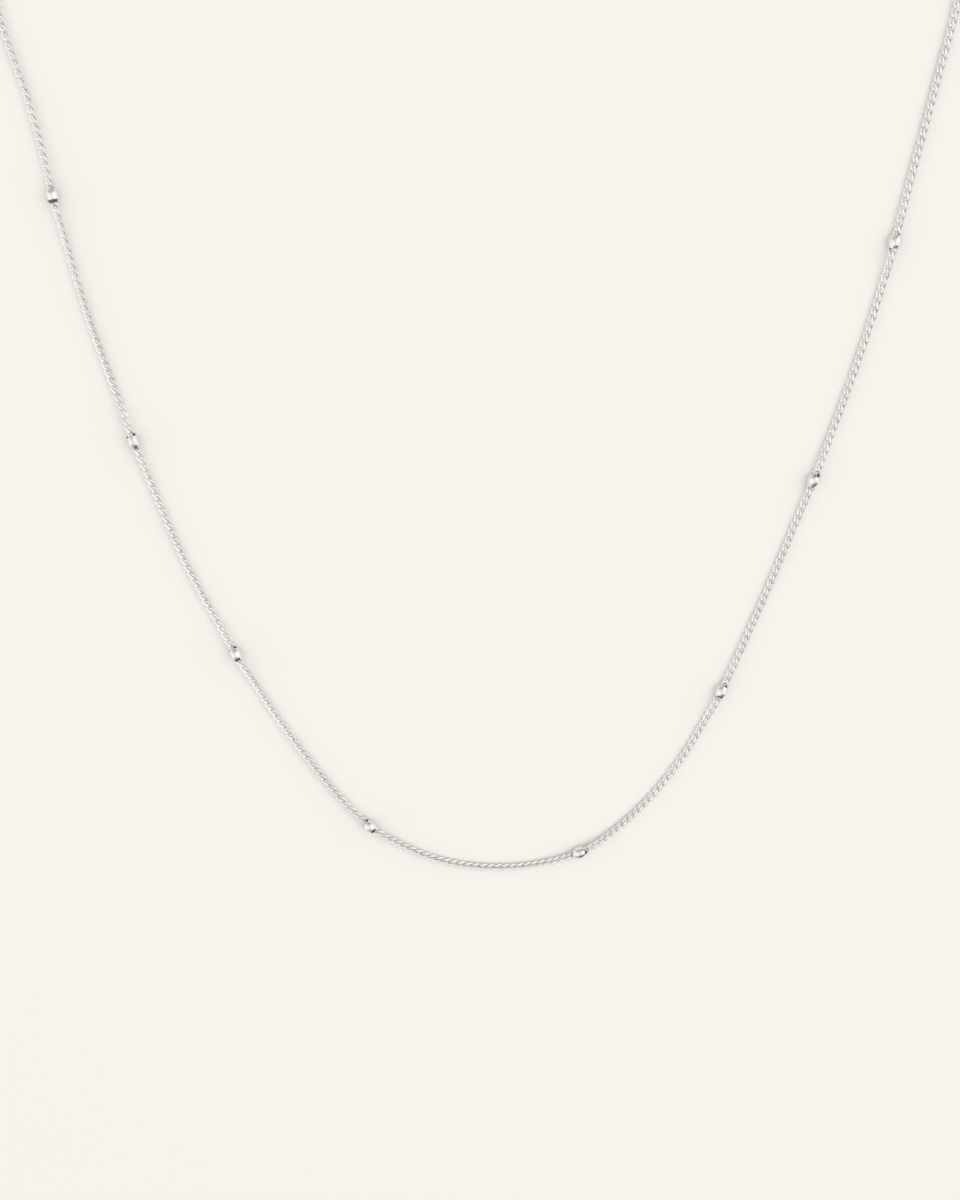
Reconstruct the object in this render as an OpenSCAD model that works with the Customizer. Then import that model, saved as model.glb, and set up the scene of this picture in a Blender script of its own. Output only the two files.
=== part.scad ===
// Fine curb chain necklace with small round beads, lying flat in an open loop.
// Z = 0 is the surface that it lies on. The clasp is at +Y, the lowest point of the curve at -Y.

/* [Chain] */
// Width of the chain across its links
chain_w = 1.04; // [0.9:0.02:1.08]
// Thickness of the chain as it lies flat
chain_t = 0.76; // [0.6:0.02:0.9]
// How far from a bead the chain comes down to the surface
settle_l = 6.5; // [5:0.5:8]

/* [Beads] */
// Number of beads round the loop
bead_count = 14; // [12:1:14]
// Distance from bead to bead along the chain
bead_step = 29.4; // [28:0.1:29.6]
// Diameter of a bead at its middle
bead_d = 1.6; // [1.6:0.02:1.9]
// Diameter of a bead at its open ends
bead_end_d = 1.44; // [1.42:0.02:1.5]
// Length of a bead
bead_l = 1.7; // [1.4:0.1:2]
// Diameter of the hole through a bead
bore_d = 1.3; // [1.3:0.02:1.36]

/* [Clasp] */
// Diameter of the clasp ring at the middle of its wire
clasp_d = 4.6; // [4.4:0.1:5]
// Thickness of the clasp's wire
clasp_wire = 0.9; // [0.8:0.05:1]
// Diameter of the clasp's eye at the middle of its wire
eye_d = 1.9; // [1.8:0.1:2.2]
// Thickness of the eye's wire
eye_wire = 0.6; // [0.5:0.05:0.6]
// Diameter of an end ring at the middle of its wire
ring_d = 2.4; // [2.4:0.1:2.6]
// Thickness of an end ring's wire
ring_wire = 0.4; // [0.35:0.05:0.4]
// Lean of the clasp from lying flat
clasp_lean = 12; // [10:1:16]
// Lean of the end rings from lying flat, to the other side
ring_lean = 40; // [36:1:46]
// Free space between parts that hang in each other
play = 0.12; // [0.12:0.01:0.15]

/* [Hidden] */
// The way of the chain's middle line, seen from above. It starts at the clasp,
// runs down the left side, round the low point and up the right side.
route = [
    [1.9, 86.9], [-15.9, 84.9], [-31.8, 76.7], [-44.0, 63.6], [-51.1, 48.2],
    [-53.5, 32.4], [-52.2, 18.5], [-49.4, 6.9], [-47.5, -4.0], [-45.3, -14.8],
    [-42.4, -25.4], [-39.2, -35.9], [-35.6, -46.3], [-31.0, -56.3], [-26.4, -65.1],
    [-21.7, -72.8], [-17.0, -79.3], [-11.9, -84.0], [-5.7, -87.4], [1.1, -88.8],
    [8.1, -88.4], [14.6, -86.0], [20.7, -80.9], [26.1, -73.7], [30.6, -64.7],
    [34.6, -54.5], [38.2, -44.1], [41.6, -33.6], [44.7, -23.1], [47.3, -12.4],
    [49.3, -1.6], [51.3, 9.2], [53.2, 21.1], [53.0, 35.0], [49.2, 50.5],
    [41.5, 64.5], [30.4, 76.0], [16.5, 83.8],
];
route_count = len(route);
steps_per_point = 12;
step_count = route_count * steps_per_point;

// A smooth closed curve through the points of the route
function route_at(i) = route[(i + route_count) % route_count];
function curve(a, b, c, d, t) =
    (2 * b + (c - a) * t + (2 * a - 5 * b + 4 * c - d) * t * t + (3 * b - a - 3 * c + d) * t * t * t) / 2;
function curve_step(k) =
    let (i = floor(k / steps_per_point), t = k / steps_per_point - i)
    curve(route_at(i - 1), route_at(i), route_at(i + 1), route_at(i + 2), t);

// The same curve as a table by distance from the clasp
steps = [for (k = [0 : step_count]) curve_step(k)];
run = [for (k = 0, s = 0; k <= step_count; s = s + norm(curve_step(k + 1) - steps[k]), k = k + 1) s];
loop_l = run[step_count];
x_by_run = [for (k = [0 : step_count]) [run[k], steps[k][0]]];
y_by_run = [for (k = [0 : step_count]) [run[k], steps[k][1]]];
function wrap(s) = s < 0 ? s + loop_l : (s > loop_l ? s - loop_l : s);
function place(s) = [lookup(wrap(s), x_by_run), lookup(wrap(s), y_by_run)];
function heading(s) =
    let (d = place(s + bead_l / 2) - place(s - bead_l / 2))
    atan2(d[1], d[0]);

// Beads are spread evenly, with the same length of chain on both sides of the clasp
first_bead = (loop_l - (bead_count - 1) * bead_step) / 2;
function bead_at(i) = first_bead + i * bead_step;

// The clasp, its eye and the two end rings in a row. X is along the row from its middle:
// left ring, eye and clasp soldered together, right ring.
ring_r = ring_d / 2;
solder = 0.35;
row_s = ring_d + (clasp_d + eye_d / 2 + (eye_wire - ring_wire) / 2 - 2 * play - solder) / 2;
left_ring_x = row_s - ring_r;
right_ring_x = ring_r - row_s;
eye_x = row_s - ring_d;
clasp_x = eye_x - (eye_d + clasp_d + eye_wire + clasp_wire) / 2 + solder;
ring_z = ring_r * sin(ring_lean) + ring_wire / 2;
clasp_z = clasp_d / 2 * sin(clasp_lean) + clasp_wire / 2;
chain_end = row_s + ring_wire / 2 + play;

// Height of the chain's middle line: on the surface, and up at each bead and at the end rings
lie_z = chain_t / 2;
bead_z = bead_d / 2;
function settled(d, flat) =
    d <= flat ? 1 : (d >= settle_l ? 0 : (1 + cos(180 * (d - flat) / (settle_l - flat))) / 2);
function bead_lift(s) = max([for (i = [0 : bead_count - 1]) settled(abs(s - bead_at(i)), bead_l / 2 + 0.4)]);
function end_lift(s) = settled(min(s, loop_l - s) - chain_end, 0.2);
function height(s) = lie_z + max((bead_z - lie_z) * bead_lift(s), (ring_z - lie_z) * end_lift(s));

// Where the tube has its rings: both sides of each bead, and between the beads
past_bead = bead_l / 2 + 0.3;
function is_tight(i) = abs(bead_at(i) + bead_step / 2 - loop_l / 2) < 2 * bead_step;
function between(i) = is_tight(i) ? [5.2, 11.5, 17.9, 24.2] : [6, 14.7, 23.4];
end_run = [0, 2.6, 6, 13, 21];
start_sections = [for (d = end_run) chain_end + d];
bead_sections = [for (i = [0 : bead_count - 1]) each [
    bead_at(i) - past_bead, bead_at(i) + past_bead,
    if (i < bead_count - 1) for (d = between(i)) bead_at(i) + d]];
end_sections = [for (k = [len(end_run) - 1 : -1 : 0]) loop_l - chain_end - end_run[k]];
sections = concat(start_sections, bead_sections, end_sections);
section_count = len(sections);
sides = 8;

function bead_name(i) = str("bead_", i < 10 ? "0" : "", i);

silver = [0.86, 0.86, 0.85];
bright_silver = [0.93, 0.93, 0.92];

// One corner of the flat oval section at distance s along the chain
function corner(s, k) =
    let (
        turn = heading(s),
        climb = atan((height(s + 0.4) - height(s - 0.4)) / 0.8),
        across = chain_w / 2 * cos(360 * k / sides),
        up = chain_t / 2 * sin(360 * k / sides),
        p = place(s))
    [
        p[0] - across * sin(turn) - up * sin(climb) * cos(turn),
        p[1] + across * cos(turn) - up * sin(climb) * sin(turn),
        height(s) + up * cos(climb)];

// The whole chain as one tube of flat oval section, from end ring to end ring
module chain() {
    points = [for (s = sections) for (k = [0 : sides - 1]) corner(s, k)];
    walls = [for (j = [0 : section_count - 2]) for (k = [0 : sides - 1])
        let (a = j * sides + k, b = j * sides + (k + 1) % sides)
        each [[a, a + sides, b], [b, a + sides, b + sides]]];
    start_cap = [for (k = [0 : sides - 1]) k];
    end_cap = [for (k = [sides - 1 : -1 : 0]) (section_count - 1) * sides + k];
    color(silver)
    polyhedron(points, concat([start_cap], walls, [end_cap]));
}

// A barrel bead with open ends, threaded on the chain and lying on the surface
module bead(i) {
    bulge = (bead_d - bead_end_d) / 2;
    side_r = (pow(bead_l / 2, 2) + pow(bulge, 2)) / (2 * bulge);
    color(bright_silver)
    translate([place(bead_at(i))[0], place(bead_at(i))[1], bead_z])
    rotate([0, 0, heading(bead_at(i))])
    rotate([0, 90, 0])
    rotate_extrude($fn = 64)
    intersection() {
        translate([bead_d / 2 - side_r, 0]) circle(r = side_r, $fn = 128);
        translate([bore_d / 2, -bead_l / 2]) square([bead_d, bead_l]);
    }
}

// A closed ring of round wire, flat in XY
module wire_ring(d, wire) {
    rotate_extrude($fn = 64) translate([d / 2, 0]) circle(d = wire, $fn = 32);
}

// Puts its children in the row of the clasp, with X along the row and the surface at Z = 0
module in_row() {
    near = place(row_s);
    far = place(-row_s);
    middle = (near + far) / 2;
    turn = atan2(near[1] - far[1], near[0] - far[0]);
    translate([middle[0], middle[1], 0]) rotate([0, 0, turn]) children();
}

module end_ring(x) {
    color(silver)
    in_row()
    translate([x, 0, ring_z])
    rotate([ring_lean, 0, 0])
    wire_ring(ring_d, ring_wire);
}

// A plain round clasp and its small soldered eye
module clasp() {
    color(silver)
    in_row()
    translate([clasp_x, 0, clasp_z])
    rotate([-clasp_lean, 0, 0])
    union() {
        wire_ring(clasp_d, clasp_wire);
        translate([eye_x - clasp_x, 0, 0]) wire_ring(eye_d, eye_wire);
    }
}

chain();
for (i = [1 : bead_count]) bead(i - 1);
end_ring(left_ring_x);  // end_ring_left
end_ring(right_ring_x);  // end_ring_right
clasp();
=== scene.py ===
# %% [markdown]
# # A silver chain with small round beads
#
# The necklace lies in an open loop on a pale surface. Its chain is a fine curb chain: oval wire links,
# each one twisted, so that the whole chain lies flat like a cord. Fourteen polished round beads are
# threaded on it.
#
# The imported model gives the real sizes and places. It holds the chain as one smooth tube, so this lesson
# makes the single links, finer beads, the camera, the light and the silver. Everything is in metres, and
# mm is one millimetre.

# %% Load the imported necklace
import bmesh
import bpy
import math
from mathutils import Matrix, Vector, geometry


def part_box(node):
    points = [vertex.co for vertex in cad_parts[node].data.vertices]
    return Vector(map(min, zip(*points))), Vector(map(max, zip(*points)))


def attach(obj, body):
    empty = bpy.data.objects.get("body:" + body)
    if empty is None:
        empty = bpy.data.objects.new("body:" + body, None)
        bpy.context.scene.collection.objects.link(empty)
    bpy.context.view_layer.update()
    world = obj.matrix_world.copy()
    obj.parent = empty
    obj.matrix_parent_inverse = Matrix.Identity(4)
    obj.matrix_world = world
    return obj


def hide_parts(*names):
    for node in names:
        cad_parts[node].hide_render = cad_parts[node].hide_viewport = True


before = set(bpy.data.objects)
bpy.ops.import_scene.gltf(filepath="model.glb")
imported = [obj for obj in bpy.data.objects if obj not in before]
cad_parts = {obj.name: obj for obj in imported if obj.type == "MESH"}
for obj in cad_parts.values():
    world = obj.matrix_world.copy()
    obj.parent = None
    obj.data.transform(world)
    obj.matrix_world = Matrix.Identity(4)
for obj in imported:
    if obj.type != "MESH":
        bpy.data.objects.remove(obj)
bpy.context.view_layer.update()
mm = 0.001

# %% [markdown]
# ## The camera
#
# The picture is taken from above at a distance of about 20 centimetres, a little from the side of the
# clasp. The camera looks at a point inside the lower half of the loop, so that the picture ends before the
# clasp. It could be placed by its coordinates, but an aim point, two angles and a distance are what one
# turns by hand on a copy stand.

# %% Place the camera
aim = Vector((0.369, -51.241, 0.4)) * mm
camera_distance = 198.66 * mm
camera_lean = math.radians(-20)
camera_roll = math.radians(-1.5)
camera_lens = 48
camera_nearest = 10 * mm

bpy.ops.object.select_all(action="DESELECT")
bpy.ops.object.camera_add(location=(0, 0, 0), rotation=(camera_lean, camera_roll, 0))
camera = bpy.context.object
camera.name = "camera"
camera.data.lens = camera_lens
camera.data.clip_start = camera_nearest
away = camera.rotation_euler.to_matrix() @ Vector((0, 0, 1))
camera.location = aim + away * camera_distance
bpy.context.scene.camera = camera
print("The camera is", round(camera.location.z / mm), "mm above the surface")

# %% [markdown]
# ## Floor and light
#
# Polished silver has hardly a colour of its own: it shows the room. Here the room is a tent of bright
# white cloth with two large soft boxes, one on each side. The cloth is duller beyond the top and the foot
# of the picture. The gap between the soft boxes is a little duller too and gives each bead a thin grey
# line, and the camera's dark stand, low in that gap, gives each bead its dark foot. A third light, a sail
# over the table, is hidden from reflections: it only lights the floor and lays the soft shadow beside the
# chain.
#
# The tent could be a dome of cloth round the table. It is painted in the world shader instead, from the
# angles between a direction and a few fixed ones, because a patch is then moved by changing two numbers.

# %% Shader values that work like numbers
class Value:
    """One output of a shader node. Arithmetic on it adds Math nodes."""

    def __init__(self, tree, socket):
        self.tree = tree
        self.socket = socket

    def maths(self, operation, *numbers):
        inputs = dict(enumerate(numbers))
        return self.tree.node("ShaderNodeMath", {"operation": operation}, inputs)

    def __add__(self, other):
        return self.maths("ADD", self, other)

    def __radd__(self, other):
        return self.maths("ADD", other, self)

    def __sub__(self, other):
        return self.maths("SUBTRACT", self, other)

    def __rsub__(self, other):
        return self.maths("SUBTRACT", other, self)

    def __mul__(self, other):
        return self.maths("MULTIPLY", self, other)

    def __rmul__(self, other):
        return self.maths("MULTIPLY", other, self)

    def __abs__(self):
        return self.maths("ABSOLUTE", self)

    def within(self, low, high):
        """0 below low, 1 above high, and a soft step between"""
        settings = {"interpolation_type": "SMOOTHSTEP"}
        inputs = {"Value": self, "From Min": low, "From Max": high}
        return self.tree.node("ShaderNodeMapRange", settings, inputs)


class Tree:
    """The nodes of one material, or of the world."""

    def __init__(self, owner):
        owner.use_nodes = True
        self.nodes = owner.node_tree.nodes
        self.links = owner.node_tree.links
        self.nodes.clear()

    def node(self, kind, settings=None, inputs=None, output=0):
        """Adds a node, sets it up, feeds it, and returns one of its outputs."""
        made = self.nodes.new(kind)
        for name, value in (settings or {}).items():
            setattr(made, name, value)
        for name, value in (inputs or {}).items():
            if isinstance(value, Value):
                self.links.new(value.socket, made.inputs[name])
            else:
                made.inputs[name].default_value = value
        return Value(self, made.outputs[output]) if made.outputs else made

    def blend(self, first, second, share):
        """One colour turning into another."""
        settings = {"data_type": "RGBA"}
        inputs = {"Factor": share, 6: first, 7: second}
        return self.node("ShaderNodeMix", settings, inputs, output=2)


# %% Lay the floor
floor_side = 6.0
floor_colour = (0.902, 0.87, 0.822, 1)

bpy.ops.object.select_all(action="DESELECT")
bpy.ops.mesh.primitive_plane_add(size=floor_side, location=(0, 0, 0))
floor = bpy.context.object
floor.name = "floor"

paper = bpy.data.materials.new("paper")
tree = Tree(paper)
shader = tree.node("ShaderNodeBsdfDiffuse", {}, {"Color": floor_colour})
tree.node("ShaderNodeOutputMaterial", {}, {"Surface": shader})
floor.data.materials.append(paper)
print("The floor is", floor_side, "m wide")

# %% Put up the lights
light_distance = 2.0


def towards(azimuth, elevation):
    """A direction from the necklace. Azimuth 0 is on the right of the picture and 90 at its top."""
    turn = math.radians(azimuth)
    rise = math.radians(elevation)
    return Vector((math.cos(turn) * math.cos(rise), math.sin(turn) * math.cos(rise), math.sin(rise)))


def soft_box(name, azimuth, elevation, size, brightness):
    """A square light that faces the necklace. Brightness 1 is that of a white wall in the picture."""
    side = towards(azimuth, elevation)
    bpy.ops.object.select_all(action="DESELECT")
    bpy.ops.object.light_add(type="AREA", location=side * light_distance)
    light = bpy.context.object
    light.name = name
    light.rotation_euler = side.to_track_quat("Z", "Y").to_euler()
    light.data.size = size
    light.data.energy = brightness * math.pi * size ** 2
    print(name, "gives", round(light.data.energy, 1), "W")
    return light


soft_box("key_light", azimuth=38, elevation=50, size=1.5, brightness=0.30)
soft_box("fill_light", azimuth=205, elevation=50, size=1.3, brightness=0.08)
sail = soft_box("sail_light", azimuth=45, elevation=62, size=2.4, brightness=0.455)
sail.visible_glossy = False

# %% Paint the tent
cloth_grey = 1.13
dull_grey = 0.53
dull_patches = [  # azimuth, elevation, and the value of facing() at its edge and at its core
    (100, 18, 0.45, 0.92),
    (-88, 28, 0.66, 0.96),
]
gap_grey = 0.80
gap_azimuth = 113
gap_core = 0.04
gap_edge = 0.20
stand_grey = 0.20
stand_azimuth = -64
stand_elevation = 21
stand_edge = 0.84
stand_core = 0.96

sky = bpy.data.worlds.new("sky")
bpy.context.scene.world = sky
bpy.context.scene.view_settings.view_transform = "Standard"
tree = Tree(sky)
direction = tree.node("ShaderNodeTexCoord", output="Generated")


def facing(azimuth, elevation):
    """1 where the sky is seen in this direction, 0 at right angles to it, and -1 behind."""
    inputs = {0: direction, 1: towards(azimuth, elevation)}
    return tree.node("ShaderNodeVectorMath", {"operation": "DOT_PRODUCT"}, inputs, "Value")


def grey(value):
    return (value, value, value, 1)


tent = grey(cloth_grey)
for azimuth, elevation, edge, core in dull_patches:
    tent = tree.blend(tent, grey(dull_grey), facing(azimuth, elevation).within(edge, core))
beside_gap = abs(facing(gap_azimuth + 90, 0)).within(gap_core, gap_edge)
tent = tree.blend(grey(gap_grey), tent, beside_gap)
stand = facing(stand_azimuth, stand_elevation).within(stand_edge, stand_core)
tent = tree.blend(tent, grey(stand_grey), stand)
background = tree.node("ShaderNodeBackground", {}, {"Color": tent})
tree.node("ShaderNodeOutputWorld", {}, {"Surface": background})
print("The tent is painted with", len(sky.node_tree.nodes), "nodes")

# %% [markdown]
# ## The way of the chain
#
# The middle line is the same closed curve as in the imported model: a few listed points, and a smooth
# curve through them. It could be drawn as a curve object, but the beads and the links ask for places at
# even distances along it. So it is worked out here as a row of points: a cubic Bezier whose handles are a
# sixth of the step between the two neighbours is that curve.

# %% Draw the middle line
route = [
    (1.9, 86.9), (-15.9, 84.9), (-31.8, 76.7), (-44.0, 63.6), (-51.1, 48.2),
    (-53.5, 32.4), (-52.2, 18.5), (-49.4, 6.9), (-47.5, -4.0), (-45.3, -14.8),
    (-42.4, -25.4), (-39.2, -35.9), (-35.6, -46.3), (-31.0, -56.3), (-26.4, -65.1),
    (-21.7, -72.8), (-17.0, -79.3), (-11.9, -84.0), (-5.7, -87.4), (1.1, -88.8),
    (8.1, -88.4), (14.6, -86.0), (20.7, -80.9), (26.1, -73.7), (30.6, -64.7),
    (34.6, -54.5), (38.2, -44.1), (41.6, -33.6), (44.7, -23.1), (47.3, -12.4),
    (49.3, -1.6), (51.3, 9.2), (53.2, 21.1), (53.0, 35.0), (49.2, 50.5),
    (41.5, 64.5), (30.4, 76.0), (16.5, 83.8),
]
steps_per_point = 12

line = []
for i in range(len(route)):
    before, start, end, after = [Vector(route[(i + k) % len(route)]) * mm for k in (-1, 0, 1, 2)]
    handle_out = start + (end - before) / 6
    handle_in = end - (after - start) / 6
    line += geometry.interpolate_bezier(start, handle_out, handle_in, end, steps_per_point + 1)[:-1]
line.append(line[0])
run = [0.0]
for here, there in zip(line, line[1:]):
    run.append(run[-1] + (there - here).length)
loop_length = run[-1]
print("The loop is", round(loop_length / mm, 2), "mm long")

# %% Find places along it
bead_count = 14
bead_step = 29.4 * mm
bead_length = 1.7 * mm
first_bead = (loop_length - (bead_count - 1) * bead_step) / 2
bead_runs = [first_bead + i * bead_step for i in range(bead_count)]


def place(s):
    """The point of the middle line at distance s from the clasp, seen from above."""
    s %= loop_length
    k = next(k for k in range(len(run) - 1) if run[k + 1] >= s)
    return line[k].lerp(line[k + 1], (s - run[k]) / (run[k + 1] - run[k]))


def heading(s):
    """The direction of the chain at distance s, seen from above, as an angle."""
    step = place(s + bead_length / 2) - place(s - bead_length / 2)
    return math.atan2(step.y, step.x)


print("The first bead sits", round(first_bead / mm, 3), "mm from the clasp, at", place(first_bead))

# %% [markdown]
# ## How the chain lies
#
# A chain of loose links never lies quite even. It comes up to the hole of each bead and to the end rings,
# leans with the beads, and turns a little about its own line, so that it shows more of its flat face in
# one place and more of its edge in another. Loose links could be dropped on the floor by a simulation, but
# the photograph already shows how they lie. So two functions of the distance from the clasp say it.

# %% Let the chain turn
turns = [  # distance from the clasp in millimetres, turn in degrees
    (0, -6), (95, -6), (112, 28), (132, 28), (154, -18),
    (275, -18), (300, -30), (360, -30), (384, -16), (450, -6),
]
sway = 4  # degrees
slow_sway = 23 * mm
quick_sway = 9.1 * mm


def roll(s):
    """How far the chain is turned about its own line at distance s."""
    (low, before), (high, after) = next(pair for pair in zip(turns, turns[1:]) if s <= pair[1][0] * mm)
    share = (s / mm - low) / (high - low)
    turn = before + (after - before) * share * share * (3 - 2 * share)
    return math.radians(turn + sway * math.sin(s / slow_sway) + sway * math.sin(s / quick_sway + 1))


print("Opposite the clasp it is turned by", round(math.degrees(roll(loop_length / 2)), 1), "degrees")

# %% Let the chain rise
link_height = 0.68 * mm
link_width = 1.02 * mm
corner_lift = 0.08 * mm  # a turned link stands on the edge of its filed face
chain_in_bead = 0.70 * mm
beside_bead = 0.4 * mm  # it stays up this far past the bead
bead_leans = [-8, 10, -9, 4, -6, 5, 6, 4, -7, 5, -8, 9, -7, 7]  # degrees
lean_share = 0.7  # the part of a bead's lean that the chain follows
chain_end = 5.25 * mm
beside_ring = 0.2 * mm
settle_length = 6.5 * mm
ring_height = (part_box("end_ring_left")[0].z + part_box("end_ring_left")[1].z) / 2


def settled(distance, flat):
    """1 where the chain is held up, 0 where it lies on the surface, and a soft fall between."""
    share = (distance - flat) / (settle_length - flat)
    return (1 + math.cos(math.pi * min(max(share, 0), 1))) / 2


def height(s):
    """How high the middle of the chain is: on the surface, or up at a bead or an end ring."""
    lie = math.hypot(link_height / 2 * math.cos(roll(s)), link_width / 2 * math.sin(roll(s)))
    lie += corner_lift * abs(math.sin(roll(s)))
    bead_run, lean = min(zip(bead_runs, bead_leans), key=lambda bead: abs(s - bead[0]))
    at_bead = settled(abs(s - bead_run), bead_length / 2 + beside_bead)
    slope = math.tan(math.radians(lean * lean_share)) * (s - bead_run) * at_bead ** 4
    at_end = settled(min(s, loop_length - s) - chain_end, beside_ring)
    return lie + max((chain_in_bead - lie) * at_bead + slope, (ring_height - lie) * at_end)


print("Opposite the clasp its middle is", round(height(loop_length / 2) / mm, 3), "mm high")

# %% [markdown]
# ## The silver
#
# Polished silver is a mirror, so what makes it look real is small: the polish has soft waves from the
# buffing wheel, fine marks cross it, and a breath of tarnish comes and goes. Photographs of scratches would
# do for one view, but they stretch and repeat. Noise on Object coordinates gives all three at the size of
# the real marks. A value stored on the links and the beads paints shade into the colour where they are
# tucked away: where the links sit in each other, and in and beside the holes of the beads. The chain is
# also painted greyer round its lowest point, as shade for the duller light that falls there.

# %% Mix the silver
tarnish_scale = 700.0
mark_scale = 9000.0
wave_scale = 2600.0
shade_zone_roughness = 0.5
foot_shade_place = Vector((-3, -84, 0)) * mm
foot_shade_core = 13 * mm
foot_shade_reach = 31 * mm


def silver(name, bright, dull, polish, wear, wave, shade_colour=None, foot_shade=None):
    """A silver finish. polish and wear are the roughness of the clean and the worn metal, and wave the
    depth of its unevenness. shade_colour is painted shade, its colour where the mesh has a painted_shade
    value of 1. foot_shade is painted shade, its colour round the chain's lowest point."""
    material = bpy.data.materials.new(name)
    tree = Tree(material)
    where = tree.node("ShaderNodeTexCoord", output="Object")
    cloud = tree.node("ShaderNodeTexNoise", {}, {"Vector": where, "Scale": tarnish_scale, "Detail": 3.0})
    marks = tree.node("ShaderNodeTexNoise", {}, {"Vector": where, "Scale": mark_scale, "Detail": 2.0})
    waves = tree.node("ShaderNodeTexNoise", {}, {"Vector": where, "Scale": wave_scale, "Detail": 1.0})
    tarnish = cloud.within(0.45, 0.75)
    colour = tree.blend((*bright, 1), (*dull, 1), tarnish)
    roughness = polish + (wear - polish) * (tarnish * 0.6 + marks.within(0.5, 0.8) * 0.4)
    # Painted shade: the chain turns greyer round its lowest point.
    if foot_shade:
        inputs = {0: where, 1: foot_shade_place}
        distance = tree.node("ShaderNodeVectorMath", {"operation": "DISTANCE"}, inputs, "Value")
        colour = tree.blend((*foot_shade, 1), colour, distance.within(foot_shade_core, foot_shade_reach))
    # Painted shade from the value stored on the mesh: between links, and in and beside the bead holes.
    if shade_colour:
        value = tree.node("ShaderNodeAttribute", {"attribute_name": "painted_shade"}, output="Fac")
        painted_shade = value.within(0.35, 1.0)
        colour = tree.blend(colour, (*shade_colour, 1), painted_shade)
        roughness = roughness + (shade_zone_roughness - roughness) * painted_shade
    bump = tree.node("ShaderNodeBump", {}, {
        "Height": waves + marks * 0.1, "Distance": wave, "Strength": 1.0})
    shader = tree.node("ShaderNodeBsdfPrincipled", {}, {
        "Base Color": colour, "Roughness": roughness, "Normal": bump, "Metallic": 1.0})
    tree.node("ShaderNodeOutputMaterial", {}, {"Surface": shader})
    print("Mixed", name, "from", len(tree.nodes), "nodes")
    return material


# The chain's last two colours are painted shade: faint between links, and greyer round its foot.
chain_silver = silver(
    "chain_silver", bright=(0.97, 0.965, 0.95), dull=(0.94, 0.93, 0.915),
    polish=0.42, wear=0.50, wave=0.005 * mm, shade_colour=(0.96, 0.95, 0.935), foot_shade=(0.855, 0.85, 0.835))
# The beads' near-black colour is painted shade for their holes and one rim.
bead_silver = silver(
    "bead_silver", bright=(0.785, 0.79, 0.785), dull=(0.745, 0.75, 0.745),
    polish=0.04, wear=0.10, wave=0.001 * mm, shade_colour=(0.13, 0.13, 0.13))
clasp_silver = silver(
    "clasp_silver", bright=(0.96, 0.955, 0.945), dull=(0.88, 0.87, 0.85),
    polish=0.08, wear=0.20, wave=0.002 * mm)

# %% [markdown]
# ## One link
#
# A curb link starts as an oval ring of wire that is rolled a little flat. Held at both ends and turned, it
# gets the twist that lets its neighbours lie close beside it. A curve with a round bevel could be the
# wire, but a torus has its few faces from the start. It is pressed and drawn out to an oval in edit mode,
# and a Simple Deform modifier gives it the twist. The finished chain is filed on both faces, which leaves
# a small bright flat on each strand: two cuts with bisect do that. There are hundreds of links, so one has
# only a few dozen faces.

# %% Helpers for shaping
past_middle = 0.01 * mm


def shape_with(piece, kind, **settings):
    """Adds a modifier, sets it, and applies it."""
    modifier = piece.modifiers.new(kind.lower(), kind)
    for name, value in settings.items():
        setattr(modifier, name, value)
    bpy.context.view_layer.objects.active = piece
    bpy.ops.object.modifier_apply(modifier=modifier.name)


def draw_out(piece, distance):
    """In edit mode, moves the two halves of a ring apart along X, and leaves straight wire between them."""
    for side in (1, -1):
        edited = bmesh.from_edit_mesh(piece.data)
        for corner in edited.verts:
            corner.select = corner.co.x * side > past_middle
        edited.select_flush_mode()
        bmesh.update_edit_mesh(piece.data)
        bpy.ops.transform.translate(value=(side * distance, 0, 0))
    print("Drew", piece.name, "out by", round(distance / mm, 3), "mm at each end")


# %% Bend one link from wire
link_pitch = 0.98 * mm
link_wire = 0.37 * mm
link_press = 0.26 * mm
link_length = 1.86 * mm
link_twist = math.radians(-165)
bend_radius = (link_width - link_wire) / 2

bpy.ops.object.select_all(action="DESELECT")
bpy.ops.mesh.primitive_torus_add(
    major_segments=12, minor_segments=6, major_radius=bend_radius, minor_radius=link_wire / 2)
link = bpy.context.object
link.name = "chain_links"
# Painted shade: 1 on the inner side of the wire, where the links sit in each other, 0 outside.
painted_shade = link.data.attributes.new("painted_shade", "FLOAT", "POINT")
for corner in link.data.vertices:
    reach = corner.co.xy.length
    painted_shade.data[corner.index].value = (bend_radius + link_wire / 2 - reach) / link_wire
bpy.ops.object.mode_set(mode="EDIT")
bpy.ops.mesh.select_all(action="SELECT")
bpy.ops.transform.resize(value=(1, 1, link_press / link_wire))
draw_out(link, (link_length - link_width) / 2)
bpy.ops.object.mode_set(mode="OBJECT")
shape_with(link, "SIMPLE_DEFORM", deform_method="TWIST", deform_axis="X", angle=link_twist)
print("A link measures", [round(v / mm, 3) for v in link.dimensions], "mm")

# %% File its two faces flat
same_place = 0.0001 * mm

bpy.ops.object.mode_set(mode="EDIT")
for side in (1, -1):
    bpy.ops.mesh.select_all(action="SELECT")
    bpy.ops.mesh.bisect(
        plane_co=(0, 0, side * link_height / 2), plane_no=(0, 0, side), use_fill=True, clear_outer=True,
        threshold=same_place)
bpy.ops.object.mode_set(mode="OBJECT")
print("Filed, it is", round(link.dimensions.z / mm, 3), "mm high, with", len(link.data.polygons), "faces")

# %% [markdown]
# ## The whole chain
#
# Each link could be placed by a matrix of its own, but modifiers say the same in two steps: an Array
# modifier sets the links a pitch apart on a straight line, and a Curve modifier lays that line along the
# loop. The rail curve also carries the small turns of the chain about its own line, as its points' tilt.
# Its length is measured along the rises at the beads, so that a link sits in the middle of every bead.

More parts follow.
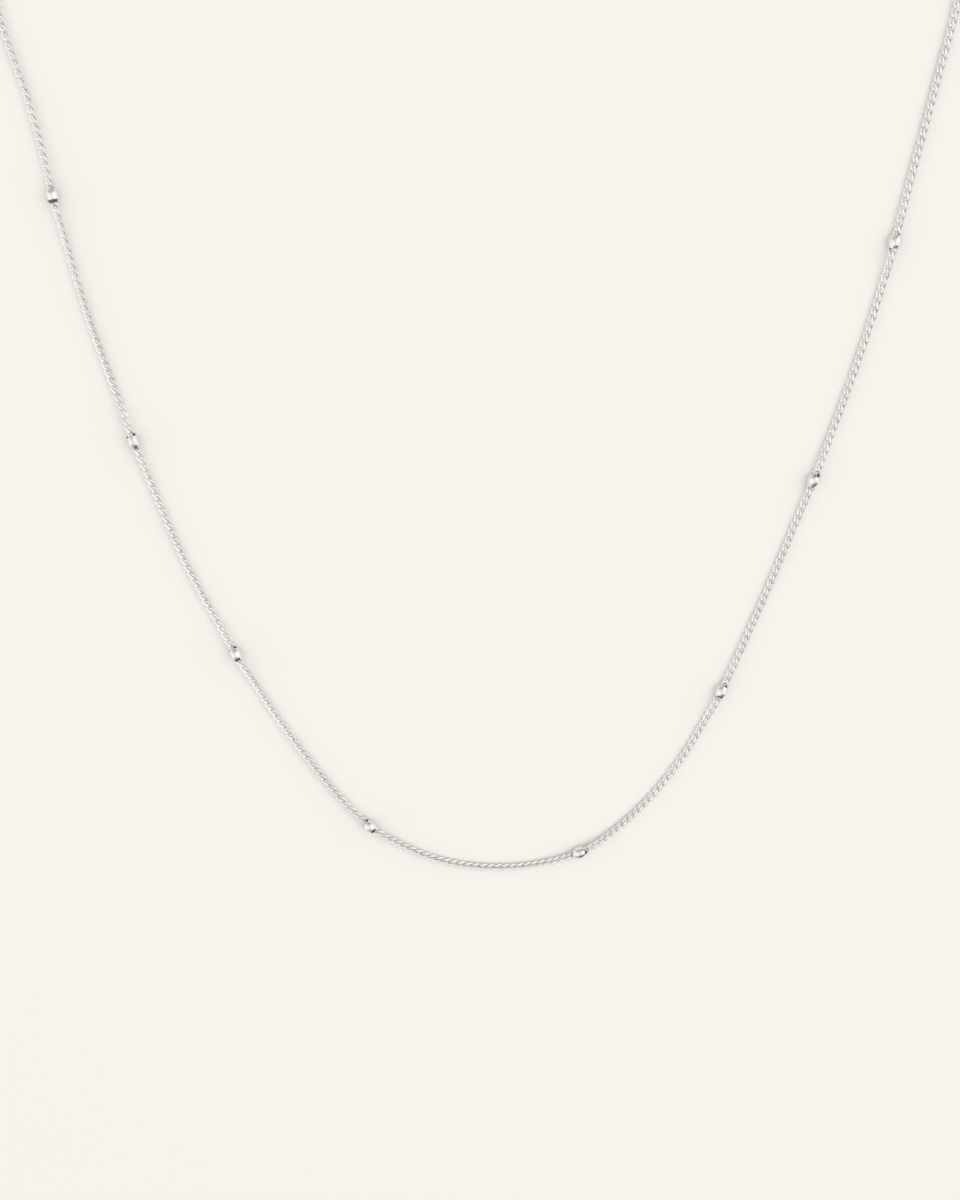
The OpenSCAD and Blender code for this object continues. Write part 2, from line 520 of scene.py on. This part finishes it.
# %% Lay the rail
links_before_bead = 28
links_per_step = 30
link_count = 2 * links_before_bead + (bead_count - 1) * links_per_step + 1
first_link = first_bead - links_before_bead * link_pitch
rail_steps = 934  # about two for each link
rail_lift = 0.02 * mm

rail_runs = [loop_length * k / rail_steps for k in range(rail_steps + 1)]
rail_points = [place(s).to_3d() + Vector((0, 0, height(s) + rail_lift)) for s in rail_runs]
rail_lengths = [0.0]
for here, there in zip(rail_points, rail_points[1:]):
    rail_lengths.append(rail_lengths[-1] + (there - here).length)

rail_data = bpy.data.curves.new("rail", "CURVE")
rail_data.dimensions = "3D"
rail_data.twist_mode = "Z_UP"
spline = rail_data.splines.new("POLY")
spline.points.add(len(rail_points) - 1)
for point, co, s in zip(spline.points, rail_points, rail_runs):
    point.co = (*co, 1)
    point.tilt = roll(s)
rail = bpy.data.objects.new("rail", rail_data)
bpy.context.scene.collection.objects.link(rail)
print("The rail is", round(rail_lengths[-1] / mm, 2), "mm long")

# %% Set the links on the rail
smooth_angle = math.radians(50)


def along_rail(s):
    """The length of the rail up to distance s."""
    k = min(int(s / loop_length * rail_steps), rail_steps - 1)
    share = s / loop_length * rail_steps - k
    return rail_lengths[k] + share * (rail_lengths[k + 1] - rail_lengths[k])


start = along_rail(first_link)
end = along_rail(loop_length - first_link)
link_step = (end - start) / (link_count - 1)
link.location.x = start
bpy.ops.object.select_all(action="DESELECT")
link.select_set(True)
bpy.context.view_layer.objects.active = link
bpy.ops.object.transform_apply(location=True, rotation=False, scale=False)
shape_with(link, "ARRAY", count=link_count, use_relative_offset=False, use_constant_offset=True,
           constant_offset_displace=(link_step, 0, 0))
shape_with(link, "CURVE", object=rail, deform_axis="POS_X")
bpy.data.objects.remove(rail)
bpy.ops.object.shade_smooth_by_angle(angle=smooth_angle)
link.data.materials.append(chain_silver)
print(link_count, "links, one every", round(link_step / mm, 4), "mm, with", len(link.data.polygons), "faces")

# %% [markdown]
# ## The end links
#
# The wire of an end ring is too thick for a curb link. So an oval link of thinner wire is closed through
# the ring and the last curb link. The left one only has to be turned, halfway between its leaning ring and
# the curb link, which stands upright at its end. The right ring leans the other way for its curb link, so
# this end link is also twisted.

# %% Close the end links
end_wire = 0.20 * mm
end_width = 1.10 * mm
end_length = 1.78 * mm
end_place = 5.28 * mm
end_settings = [  # distance from the clasp, turn and twist in degrees
    (end_place, -54, 0),
    (loop_length - end_place, 78, 60),
]

end_links = []
for s, turn, twist in end_settings:
    bpy.ops.object.select_all(action="DESELECT")
    bpy.ops.mesh.primitive_torus_add(
        major_segments=16, minor_segments=8,
        major_radius=(end_width - end_wire) / 2, minor_radius=end_wire / 2)
    end_link = bpy.context.object
    end_link.name = "end_link"
    bpy.ops.object.mode_set(mode="EDIT")
    draw_out(end_link, (end_length - end_width) / 2)
    bpy.ops.object.mode_set(mode="OBJECT")
    shape_with(
        end_link, "SIMPLE_DEFORM", deform_method="TWIST", deform_axis="X", angle=math.radians(twist))
    turned = Matrix.Rotation(heading(s), 4, "Z") @ Matrix.Rotation(math.radians(turn), 4, "X")
    end_link.data.transform(Matrix.Translation(place(s).to_3d() + Vector((0, 0, ring_height))) @ turned)
    bpy.ops.object.shade_smooth()
    end_link.data.materials.append(chain_silver)
    end_links.append(end_link)

# %% Join them to the chain
bpy.ops.object.select_all(action="DESELECT")
for piece in (*end_links, link):
    piece.select_set(True)
bpy.context.view_layer.objects.active = link
bpy.ops.object.join()
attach(link, "root")
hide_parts("chain")
print("With its end links the chain has", len(link.data.polygons), "faces")

# %% [markdown]
# ## The beads
#
# A bead is turned from silver and drilled through. A ball would be quicker, but as on a lathe the outline
# is all that matters: a round belly and two sloping ends. So a circle is extruded from one station of the
# outline to the next and resized at each, then back through the hole, and a Subdivision Surface modifier
# rounds the stations over. The last station isn't joined to the first, so a slit of 0.02 mm stays open
# inside one rim. The wall of the hole is painted dark as shade, and so is a band over one rim, on some
# beads more than on others, for the shade at the bead's mouth. A bead is loose on the chain and leans to
# one side or the other.

# %% Turn one bead
bead_sides = 48
bead_hole = 1.10 * mm
half_outline = [  # distance from the middle, radius
    (0.22 * mm, 0.775 * mm),
    (0.42 * mm, 0.730 * mm),
    (0.60 * mm, 0.635 * mm),
    (0.74 * mm, 0.575 * mm),
    (0.78 * mm, 0.565 * mm),
]
outline = [(-x, r) for x, r in reversed(half_outline)] + [(0, 0.78 * mm)] + half_outline
outline += [(0.76 * mm, bead_hole / 2), (-0.76 * mm, bead_hole / 2)]

bpy.ops.object.select_all(action="DESELECT")
bpy.ops.mesh.primitive_circle_add(vertices=bead_sides, radius=outline[0][1], rotation=(0, math.pi / 2, 0))
bead = bpy.context.object
bead.name = "bead_pattern"
bpy.ops.object.transform_apply(rotation=True)
bpy.ops.object.mode_set(mode="EDIT")
bpy.ops.mesh.select_all(action="SELECT")
bpy.ops.transform.translate(value=(outline[0][0], 0, 0))
for (x, radius), (next_x, next_radius) in zip(outline, outline[1:]):
    bpy.ops.mesh.extrude_region_move(TRANSFORM_OT_translate={"value": (next_x - x, 0, 0)})
    bpy.ops.transform.resize(value=(1, next_radius / radius, next_radius / radius))
print("The bead's outline has", len(outline), "stations")

# %% Round it over
bpy.ops.mesh.select_all(action="SELECT")
bpy.ops.mesh.normals_make_consistent(inside=False)
bpy.ops.object.mode_set(mode="OBJECT")
bpy.ops.object.shade_smooth()
shape_with(bead, "SUBSURF", levels=1, render_levels=1)
bead.data.attributes.new("painted_shade", "FLOAT", "POINT")
bead.data.materials.append(bead_silver)
print("A bead measures", [round(v / mm, 3) for v in bead.dimensions], "mm")

# %% List the painted shade at the bead ends
end_shades = [  # end, spread from the top in degrees, its edge's distance from the bead's middle, darkness
    (1, 35, 0.50 * mm, 0.8),
    (-1, 30, 0.50 * mm, 0.6),
    (1, 42, 0.42 * mm, 1.0),
    (1, 62, 0.32 * mm, 0.9),
    (-1, 25, 0.55 * mm, 0.6),
    (1, 43, 0.42 * mm, 1.0),
    (1, 43, 0.42 * mm, 1.0),
    (1, 30, 0.50 * mm, 0.5),
    (-1, 48, 0.52 * mm, 1.0),
    (1, 40, 0.52 * mm, 0.8),
    (-1, 32, 0.42 * mm, 0.7),
    (-1, 35, 0.50 * mm, 0.7),
    (1, 30, 0.50 * mm, 0.5),
    (-1, 45, 0.42 * mm, 1.0),
]
fade_turn = 9
fade_length = 0.10 * mm
hole_margin = 0.012 * mm


def end_shade_at(corner, end, spread, edge, darkness):
    """How much painted shade a corner of the bead gets: 1 in the hole, and 0 where it has none."""
    if corner.yz.length < bead_hole / 2 + hole_margin:
        return 1.0
    off_top = math.degrees(math.atan2(abs(corner.y), corner.z))
    near_end = min(max((corner.x * end - edge) / fade_length, 0), 1)
    on_top = min(max((spread - off_top) / fade_turn, 0), 1)
    return darkness * near_end * on_top


print("Listed", len(end_shades), "end_shades")

# %% Thread the beads
for i, (s, lean) in enumerate(zip(bead_runs, bead_leans)):
    name = f"bead_{i + 1:02d}"
    threaded = bead.copy()
    threaded.data = bead.data.copy()
    threaded.name = "polished_" + name
    bpy.context.scene.collection.objects.link(threaded)
    # Painted shade on each bead: its hole, and a band over one rim from the list.
    painted_shade = threaded.data.attributes["painted_shade"]
    for corner in threaded.data.vertices:
        painted_shade.data[corner.index].value = end_shade_at(corner.co, *end_shades[i])
    turned = Matrix.Rotation(heading(s), 4, "Z") @ Matrix.Rotation(-math.radians(lean), 4, "Y")
    threaded.data.transform(turned)
    lowest = min(corner.co.z for corner in threaded.data.vertices)
    threaded.data.transform(Matrix.Translation(place(s).to_3d() - Vector((0, 0, lowest))))
    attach(threaded, "root")
    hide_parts(name)
bpy.data.objects.remove(bead)
print("Threaded", len(bead_runs), "beads")

# %% [markdown]
# ## The clasp and the end rings
#
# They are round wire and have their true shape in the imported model. Rings made anew from a torus would
# look the same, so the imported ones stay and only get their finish.

# %% Polish the clasp and the end rings
for name in ("end_ring_left", "end_ring_right", "clasp"):
    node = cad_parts[name]
    node.data.materials.clear()
    node.data.materials.append(clasp_silver)
    print("Polished", name)
